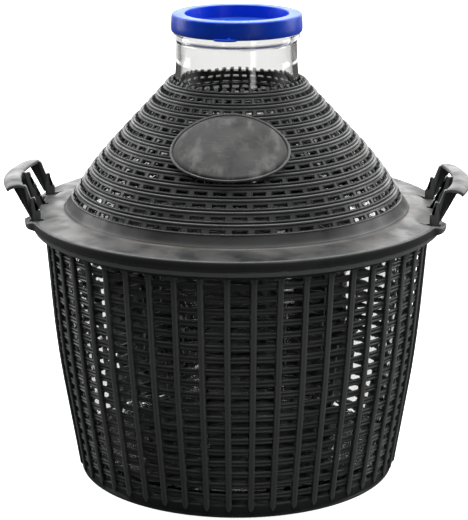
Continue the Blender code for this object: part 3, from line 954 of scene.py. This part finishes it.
class Tree:
    """A node tree, with a short call for each kind of node that is used often."""

    def __init__(self, node_tree):
        self.nodes = node_tree.nodes
        self.links = node_tree.links
        self.nodes.clear()

    def add(self, kind, inputs=None, **settings):
        """A node with its settings, and with its inputs linked to sockets or set to plain values."""
        made = self.nodes.new(kind)
        for name, value in settings.items():
            setattr(made, name, value)
        for name, value in (inputs or {}).items():
            slot = made.inputs[name]
            if isinstance(value, bpy.types.NodeSocket):
                self.links.new(value, slot)
            else:
                slot.default_value = (*value, 1.0) if slot.type == "RGBA" else value
        return made

    def coords(self, kind="Object"):
        return self.add("ShaderNodeTexCoord").outputs[kind]

    def split(self, vector):
        return self.add("ShaderNodeSeparateXYZ", {"Vector": vector}).outputs

    def light_path(self, kind):
        return self.add("ShaderNodeLightPath").outputs[kind]

    def noise(self, coords, scale, detail=4.0, stretch=(1.0, 1.0, 1.0)):
        mapping = self.add("ShaderNodeMapping", {"Vector": coords, "Scale": stretch})
        inputs = {"Vector": mapping.outputs["Vector"], "Scale": scale, "Detail": detail}
        return self.add("ShaderNodeTexNoise", inputs).outputs["Fac"]

    def remap(self, value, low, high, out_low=0.0, out_high=1.0):
        inputs = {"Value": value, "From Min": low, "From Max": high}
        inputs |= {"To Min": out_low, "To Max": out_high}
        return self.add("ShaderNodeMapRange", inputs, clamp=True).outputs["Result"]

    def maths(self, operation, first, second):
        return self.add("ShaderNodeMath", {0: first, 1: second}, operation=operation).outputs["Value"]

    def times(self, first, second):
        return self.maths("MULTIPLY", first, second)

    def plus(self, first, second):
        return self.maths("ADD", first, second)

    def mix(self, factor, first, second):
        inputs = {"Factor": factor, "A": first, "B": second}
        return self.add("ShaderNodeMix", inputs, data_type="RGBA").outputs["Result"]

    def bump(self, height, strength, distance):
        inputs = {"Height": height, "Strength": strength, "Distance": distance}
        return self.add("ShaderNodeBump", inputs).outputs["Normal"]

    def principled(self, inputs):
        return self.add("ShaderNodeBsdfPrincipled", inputs).outputs["BSDF"]

    def choose(self, factor, first, second):
        """The first shader where the factor is 0, and the second where it is 1."""
        return self.add("ShaderNodeMixShader", {"Fac": factor, 1: first, 2: second}).outputs["Shader"]

    def background(self, strength):
        inputs = {"Color": (1.0, 1.0, 1.0), "Strength": strength}
        return self.add("ShaderNodeBackground", inputs).outputs["Background"]

    def output(self, shader, kind="Material"):
        self.add("ShaderNodeOutput" + kind, {"Surface": shader})


def material(name):
    made = bpy.data.materials.new(name)
    made.use_nodes = True
    return made, Tree(made.node_tree)


def badge_streaks(tree, coords, place):
    """How much of the badge's pale upright streaks shows. They are stronger towards its ends."""
    across = tree.times(place["X"], 1 / (BADGE_HALF_WIDTH * MM))
    above = tree.maths("SUBTRACT", place["Z"], BADGE_Z * MM)
    above = tree.times(above, 1 / (BADGE_HALF_HEIGHT * MM))
    reach = tree.plus(tree.times(across, across), tree.times(above, above))
    inside = tree.times(tree.remap(reach, 0.9, 0.78), tree.remap(reach, 0.05, 0.6, 0.4, 1.0))
    front = tree.remap(place["Y"], -0.04, -0.06)
    streaks = tree.remap(tree.noise(coords, 70.0, 4.0, (1.0, 1.0, 0.3)), 0.48, 0.7)
    return tree.times(tree.times(inside, front), streaks)


def grime_ring(tree, coords, place):
    """How much grime lies in the fold between the flange and the skirt above it."""
    flat = tree.add("ShaderNodeCombineXYZ", {"X": place["X"], "Y": place["Y"]}).outputs["Vector"]
    radius = tree.add("ShaderNodeVectorMath", {0: flat}, operation="LENGTH").outputs["Value"]
    away = tree.maths("SUBTRACT", radius, GRIME_R * MM)
    near = tree.remap(tree.times(away, away), 0.0, (GRIME_REACH * MM) ** 2, 1.0, 0.0)
    patches = tree.remap(tree.noise(coords, 55.0, 6.0), 0.3, 0.62)
    low = tree.remap(place["Z"], (FLANGE_Z + 4.2) * MM, (FLANGE_Z - 0.8) * MM)
    return tree.times(tree.times(near, patches), low)


def grained(tree, grain, dents, dents_share, strength, distance):
    """The bump of a moulded surface: a fine grain over broader dents."""
    return tree.bump(tree.plus(tree.times(dents, dents_share), grain), strength, distance)


def charcoal(name, dark, pale, dust_and_sheen_colour, dust_and_sheen, rough, grime=False, badge=False):
    """Moulded black polyethylene: mottled, finely grained, and paler and duller on its upward faces,
    where dust lies on it. On the strap that paleness is also a painted highlight of the overhead light,
    and thin crests and edges get a painted highlight.
    """
    made, tree = material(name)
    coords = tree.coords()
    place = tree.split(coords)
    surface = tree.add("ShaderNodeNewGeometry").outputs
    facing_up = tree.remap(tree.split(surface["Normal"])["Z"], 0.45, 0.98)

    colour = tree.mix(tree.remap(tree.noise(coords, 14.0), 0.35, 0.7), dark, pale)
    # Painted highlight: thin crests and edges are painted paler, where light would catch them.
    edge = tree.remap(surface["Pointiness"], 0.505, 0.56)
    colour = tree.mix(tree.times(edge, 0.8), colour, EDGE_HIGHLIGHT)
    # Paler on upward faces: dust, and on the strap also a painted highlight of the overhead light.
    patches = tree.remap(tree.noise(coords, 30.0, 8.0), 0.38, 0.68)
    dust_and_sheen_mask = tree.times(tree.times(facing_up, patches), dust_and_sheen)
    colour = tree.mix(dust_and_sheen_mask, colour, dust_and_sheen_colour)
    scratches = tree.remap(tree.noise(coords, 90.0, 2.0, (1.0, 14.0, 1.0)), 0.66, 0.72)
    colour = tree.mix(tree.times(tree.times(scratches, facing_up), 0.35), colour, SCRATCH)
    if badge:
        colour = tree.mix(badge_streaks(tree, coords, place), colour, BADGE_STREAK)
    if grime:
        colour = tree.mix(tree.times(grime_ring(tree, coords, place), 0.55), colour, GRIME)

    grain = tree.noise(coords, 620.0, 3.0)
    dents = tree.noise(coords, 38.0, 3.0)
    shine = tree.remap(tree.noise(coords, 24.0), 0.3, 0.7, rough - 0.06, rough + 0.08)
    streaks = tree.remap(tree.noise(coords, 48.0, 5.0, (1.0, 1.0, 0.1)), 0.42, 0.66, 0.0, 0.22)
    tree.output(tree.principled({
        "Base Color": colour,
        "Roughness": tree.plus(tree.plus(shine, streaks), tree.times(dust_and_sheen_mask, 0.25)),
        "Specular IOR Level": 0.5,
        "Normal": grained(tree, grain, dents, 2.2, strength=0.16, distance=0.0006),
    }))
    return made


def clear_glass():
    """Clear pressed glass with faint waves in its surface, darker where it is seen at a slant."""
    made, tree = material("clear_glass_wavy")
    coords = tree.coords()
    waves = tree.noise(coords, 11.0, 2.0, (1.0, 1.0, 0.45))
    ripples = tree.noise(coords, 42.0, 2.0, (1.0, 1.0, 0.6))
    grazing = tree.add("ShaderNodeLayerWeight").outputs["Facing"]
    # Painted shade: the glass is tinted dark where it is seen at a slant, for the dark edge lines along
    # its bends.
    rim = tree.remap(grazing, 0.72, 0.97, 0.0, 0.85)
    tree.output(tree.principled({
        "Base Color": tree.mix(rim, GLASS, GLASS_RIM),
        "Transmission Weight": 1.0,
        "IOR": 1.5,
        "Roughness": tree.remap(tree.noise(coords, 18.0, 5.0), 0.45, 0.75, 0.0, 0.05),
        "Normal": tree.bump(tree.plus(waves, tree.times(ripples, 0.25)), 0.35, 0.003),
    }))
    return made


def blue_plastic():
    """Semi-gloss royal blue polyethylene, slightly translucent, with handling marks, and a painted
    highlight that makes its upward faces paler.
    """
    made, tree = material("royal_blue_plastic")
    coords = tree.coords()
    colour = tree.mix(tree.remap(tree.noise(coords, 22.0), 0.3, 0.7), BLUE_DARK, BLUE_PALE)
    wear = tree.remap(tree.noise(coords, 130.0, 6.0), 0.6, 0.75)
    colour = tree.mix(tree.times(wear, 0.14), colour, BLUE_WEAR)
    normal = tree.add("ShaderNodeNewGeometry").outputs["Normal"]
    # Painted highlight: the upward faces, the ring top and the sunk middle, are painted paler where the
    # overhead light falls.
    painted_top_highlight = tree.remap(tree.split(normal)["Z"], 0.3, 0.95, 0.0, 0.75)
    grain = tree.noise(coords, 480.0, 3.0)
    dents = tree.noise(coords, 46.0, 2.0)
    tree.output(tree.principled({
        "Base Color": tree.mix(painted_top_highlight, colour, BLUE_TOP_HIGHLIGHT),
        "Roughness": tree.remap(tree.noise(coords, 30.0), 0.3, 0.7, 0.26, 0.4),
        "Specular IOR Level": 0.22,
        "Subsurface Weight": 0.2,
        "Subsurface Radius": (0.2, 0.4, 1.0),
        "Subsurface Scale": 0.004,
        "Normal": grained(tree, grain, dents, 2.0, strength=0.12, distance=0.0005),
    }))
    return made


def seen_directly(tree):
    """1 for what the camera sees, also through glass, and 0 for what only lights the object."""
    path = tree.add("ShaderNodeLightPath").outputs
    seen = tree.maths("MAXIMUM", path["Is Camera Ray"], path["Is Transmission Ray"])
    bounces = tree.plus(path["Diffuse Depth"], path["Glossy Depth"])
    return tree.times(seen, tree.maths("LESS_THAN", bounces, 0.5))


def floor_material():
    """A pale floor that stays white behind the object and throws little light back at it."""
    made, tree = material("pale_floor")
    tone = tree.remap(tree.noise(tree.coords(), 3.0), 0.3, 0.7)
    pale = tree.principled({
        "Base Color": tree.mix(tone, (0.9, 0.9, 0.9), (0.93, 0.93, 0.93)),
        "Roughness": 0.8,
        "Emission Color": (1.0, 1.0, 1.0),
        "Emission Strength": 0.75,
    })
    dim = tree.add("ShaderNodeBsdfDiffuse", {"Color": (0.08, 0.08, 0.08)}).outputs["BSDF"]
    behind_glass = tree.add("ShaderNodeEmission", {"Strength": BEHIND_GLASS}).outputs["Emission"]
    indirect = tree.choose(seen_directly(tree), dim, behind_glass)
    tree.output(tree.choose(tree.light_path("Is Camera Ray"), indirect, pale))
    return made


# A dark sheet that stands in for shade, seen through the glass and in reflections.
def card_material():
    made, tree = material("black_card")
    tree.output(tree.add("ShaderNodeBsdfDiffuse", {"Color": (0.01, 0.01, 0.01)}).outputs["BSDF"])
    return made


# ======== stage, lights and camera ========

def build_stage():
    """The floor, and a black card close behind the basket that the camera doesn't see.

    The card stands in for shade: it darkens the middle of the basket's windows, as the shaded inside of
    the basket would.
    """
    half = FLOOR_HALF
    corners = [(-half, -half, 0), (half, -half, 0), (half, half, 0), (-half, half, 0)]
    floor = make_object("floor", corners, [(0, 1, 2, 3)])
    floor.data.materials.append(floor_material())
    near, far = CARD_Y
    outline = [(near, 1), (far, 1), (far, CARD_TOP), (far + 2, CARD_TOP), (far + 2, 0), (near, 0)]
    card = loft("black_card", [[(x, y, z) for y, z in outline] for x in CARD_X])
    card.data.materials.append(card_material())
    for kind in ("camera", "shadow", "volume_scatter"):
        setattr(card, "visible_" + kind, False)


def build_world():
    """A bright white studio, dimmer on the side that the badge faces.

    What is seen through the glass darkens upwards, which draws the bends of the glass.
    """
    world = bpy.data.worlds.new("studio")
    bpy.context.scene.world = world
    world.use_nodes = True
    tree = Tree(world.node_tree)
    toward = tree.split(tree.coords("Generated"))
    back = tree.remap(toward["Y"], -0.35, 0.45, FRONT_LIGHT, BACK_LIGHT)
    fading = tree.remap(tree.times(toward["X"], toward["X"]), 0.08, 0.32, 1.0, SIDE_SHARE)
    top = tree.remap(toward["Z"], 0.66, 0.96, 0.0, TOP_LIGHT)
    level = tree.maths("MAXIMUM", tree.times(back, fading), top)
    through_glass = tree.remap(toward["Z"], 0.0, 0.5, BEHIND_GLASS, ABOVE_GLASS)
    plain = tree.maths("MAXIMUM", through_glass, tree.light_path("Is Camera Ray"))
    lighting = tree.background(level)
    backdrop = tree.background(plain)
    tree.output(tree.choose(seen_directly(tree), lighting, backdrop), "World")


def area_light(name, place, target, size, power):
    lamp = bpy.data.lights.new(name, "AREA")
    lamp.shape = "RECTANGLE"
    lamp.size, lamp.size_y = size
    lamp.energy = power
    made = bpy.data.objects.new(name, lamp)
    bpy.context.scene.collection.objects.link(made)
    made.location = place
    aim = Vector(target) - Vector(place)
    made.rotation_euler = aim.to_track_quat("-Z", "Y").to_euler()


def build_lights():
    """Three soft lights, and a tall narrow one that draws a bright line down the glass."""
    area_light("overhead", (0.0, 0.35, 1.9), (0.0, 0.0, 0.3), size=(1.6, 1.2), power=15.0)
    for name, x in (("left", -1.6), ("right", 1.6)):
        area_light(name, (x, 0.6, 1.0), (0.0, 0.0, 0.25), size=(0.8, 1.6), power=16.0)
    strip_x = STRIP_AWAY * math.cos(STRIP_ANGLE)
    strip_y = STRIP_AWAY * math.sin(STRIP_ANGLE)
    area_light("strip", (strip_x, strip_y, 0.75), (0.0, 0.0, 0.3), size=(0.3, 1.5), power=4.0)


def build_camera():
    camera = bpy.data.objects.new("camera", bpy.data.cameras.new("camera"))
    bpy.context.scene.collection.objects.link(camera)
    sideways = CAMERA_AWAY * math.sin(CAMERA_TURN)
    camera.location = (sideways, -CAMERA_AWAY * math.cos(CAMERA_TURN), CAMERA_HEIGHT)
    camera.rotation_euler = (math.pi / 2 - CAMERA_PITCH, 0.0, CAMERA_TURN)
    camera.data.lens = CAMERA_LENS
    camera.data.sensor_width = 36.0
    camera.data.shift_x = CAMERA_SHIFT
    camera.data.clip_end = 50.0
    bpy.context.scene.camera = camera


# ======== the object ========

def finish_piece(piece, body, node, surface):
    piece.data.materials.clear()
    piece.data.materials.append(surface)
    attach(piece, body)
    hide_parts(node)


def build_object():
    basket_skin = charcoal("basket_charcoal", *BASKET_COLOURS, BASKET_DUST, dust_and_sheen=0.15, rough=0.4)
    cover_skin = charcoal("cover_charcoal", *COVER_COLOURS, COVER_DUST, dust_and_sheen=0.35, rough=0.32,
                          grime=True, badge=True)
    # The strap's strong pale top is dust and a painted highlight of the overhead light.
    strap_skin = charcoal("strap_charcoal", *STRAP_COLOURS, STRAP_DUST_AND_SHEEN, dust_and_sheen=0.8, rough=0.33)
    finish_piece(build_basket(), "vessel", "basket", basket_skin)
    finish_piece(build_cover(), "vessel", "cover", cover_skin)
    finish_piece(build_jar(), "vessel", "glass_jar", clear_glass())
    finish_piece(build_lid(), "lid", "lid", blue_plastic())
    for side, body in ((-1, "handle_left"), (1, "handle_right")):
        finish_piece(build_handle(side), body, body, strap_skin)


bpy.context.scene.view_settings.view_transform = "Standard"
build_stage()
build_world()
build_lights()
build_camera()
build_object()
